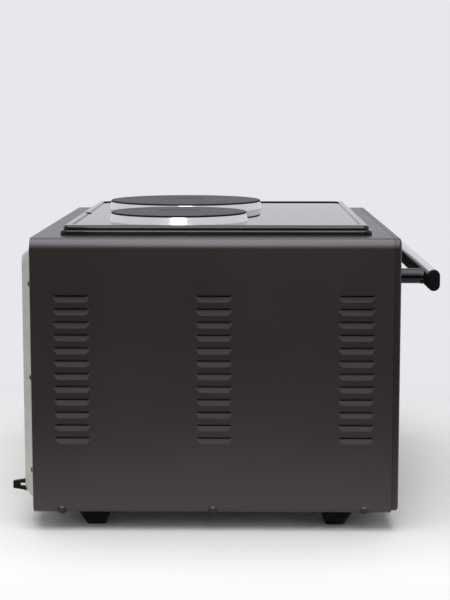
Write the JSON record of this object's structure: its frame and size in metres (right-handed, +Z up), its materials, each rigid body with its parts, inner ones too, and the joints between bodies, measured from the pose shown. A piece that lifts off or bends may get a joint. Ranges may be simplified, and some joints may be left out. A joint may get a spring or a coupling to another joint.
{
  "type": "tabletop oven with hotplates",
  "caption": "Tabletop electric oven with a drop-down glass door, rotary controls, louvred dark casing and round cast-iron hotplates on a black enamelled hob.",
  "frame": {"origin": "on the table under the middle of the oven's whole outline, handle and rear spacers included", "axes": "+X to the right of a user who faces the door, +Y from the door to the back, +Z up"},
  "size_m": [0.4744, 0.4362, 0.3176],
  "materials": {
    "casing_paint": "satin dark brown-grey powder coat",
    "frame_paint": "satin dark brown-grey powder coat",
    "galvanised_sheet": "dull galvanised sheet",
    "hob_enamel": "black gloss enamel",
    "hotplate_iron": "machined and black-stained cast iron",
    "ring_steel": "bright stainless steel",
    "handle_steel": "polished stainless steel",
    "black_plastic": "matt black moulding",
    "foot_rubber": "black rubber",
    "cavity_enamel": "speckled dark grey enamel",
    "heater_sheath": "heat-darkened steel",
    "bush_ceramic": "white ceramic",
    "window_glass": "clear toughened glass",
    "seal_rubber": "grey silicone",
    "painted_screws": "black oxide",
    "zinc_steel": "zinc plated",
    "knob_plastic": "satin black moulding",
    "lamp_lens": "clear red moulding",
    "wire_sleeve": "woven glass sleeve",
    "rack_chrome": "chrome-plated wire",
    "tray_enamel": "dark blue-black enamel"
  },
  "bodies": {
    "oven": {"outer_casing": "casing_paint", "front_frame": "frame_paint", "control_panel": "frame_paint", "back_panel": "galvanised_sheet", "base_plate": "galvanised_sheet", "hob_plate": "hob_enamel", "small_hotplate": "hotplate_iron", "large_hotplate": "hotplate_iron", "small_hotplate_ring": "ring_steel", "large_hotplate_ring": "ring_steel", "rear_spacers": "black_plastic", "cable_gland": "black_plastic", "terminal_block": "black_plastic", "timer": "black_plastic", "thermostat": "black_plastic", "function_switch": "black_plastic", "large_hotplate_switch": "black_plastic", "small_hotplate_switch": "black_plastic", "feet": "foot_rubber", "oven_cavity": "cavity_enamel", "lower_heater": "heater_sheath", "upper_heater": "heater_sheath", "heater_bushes": "bush_ceramic", "door_seal": "seal_rubber", "casing_screws": "painted_screws", "back_panel_screws": "painted_screws", "foot_screws": "zinc_steel", "hotplate_studs": "zinc_steel", "hotplate_bridges": "zinc_steel", "hotplate_nuts": "zinc_steel", "hinge_brackets": "zinc_steel", "hinge_pins": "zinc_steel", "hinge_washers": "zinc_steel", "thermostat_bulb": "zinc_steel", "indicator_lamps": "lamp_lens", "wiring_harness": "wire_sleeve"},
    "door": {"door_frame": "frame_paint", "door_outer_glass": "window_glass", "door_inner_panel": "galvanised_sheet", "door_inner_glass": "window_glass", "glass_clips": "zinc_steel", "handle_bar": "handle_steel", "handle_end_caps": "black_plastic", "handle_standoffs": "black_plastic", "handle_screws": "zinc_steel"},
    "rack": {"wire_rack": "rack_chrome"},
    "tray": {"baking_tray": "tray_enamel"},
    "timer_dial": {"timer_knob": "knob_plastic", "timer_spindle": "zinc_steel"},
    "thermostat_dial": {"thermostat_knob": "knob_plastic", "thermostat_spindle": "zinc_steel"},
    "function_switch_dial": {"function_switch_knob": "knob_plastic", "function_switch_spindle": "zinc_steel"},
    "large_hotplate_switch_dial": {"large_hotplate_switch_knob": "knob_plastic", "large_hotplate_switch_spindle": "zinc_steel"},
    "small_hotplate_switch_dial": {"small_hotplate_switch_knob": "knob_plastic", "small_hotplate_switch_spindle": "zinc_steel"}
  },
  "joints": [
    {"name": "door_hinge", "type": "hinge", "parent": "oven", "child": "door", "pos_m": [-0.0455, -0.16975, 0.041], "axis": [1, 0, 0], "range_deg": [0, 85]},
    {"name": "rack_slide", "type": "slide", "parent": "oven", "child": "rack", "axis": [0, -1, 0], "range_m": [0, 0.085]},
    {"name": "tray_slide", "type": "slide", "parent": "oven", "child": "tray", "axis": [0, -1, 0], "range_m": [0, 0.12]},
    {"name": "timer_turn", "type": "hinge", "parent": "oven", "child": "timer_dial", "pos_m": [0.1835, -0.17575, 0.063], "axis": [0, 1, 0], "range_deg": [0, 300]},
    {"name": "thermostat_turn", "type": "hinge", "parent": "oven", "child": "thermostat_dial", "pos_m": [0.1835, -0.17575, 0.109], "axis": [0, 1, 0], "range_deg": [0, 270]},
    {"name": "function_switch_turn", "type": "hinge", "parent": "oven", "child": "function_switch_dial", "pos_m": [0.1835, -0.17575, 0.155], "axis": [0, 1, 0], "range_deg": [0, 270]},
    {"name": "large_hotplate_switch_turn", "type": "hinge", "parent": "oven", "child": "large_hotplate_switch_dial", "pos_m": [0.1835, -0.17575, 0.201], "axis": [0, 1, 0], "range_deg": [0, 270]},
    {"name": "small_hotplate_switch_turn", "type": "hinge", "parent": "oven", "child": "small_hotplate_switch_dial", "pos_m": [0.1835, -0.17575, 0.247], "axis": [0, 1, 0], "range_deg": [0, 270]}
  ],
  "couplings": [
    {"joint": "rack_slide", "follows": "door_hinge", "m_per_rad": 0.055},
    {"joint": "tray_slide", "follows": "door_hinge", "m_per_rad": 0.08}
  ]
}
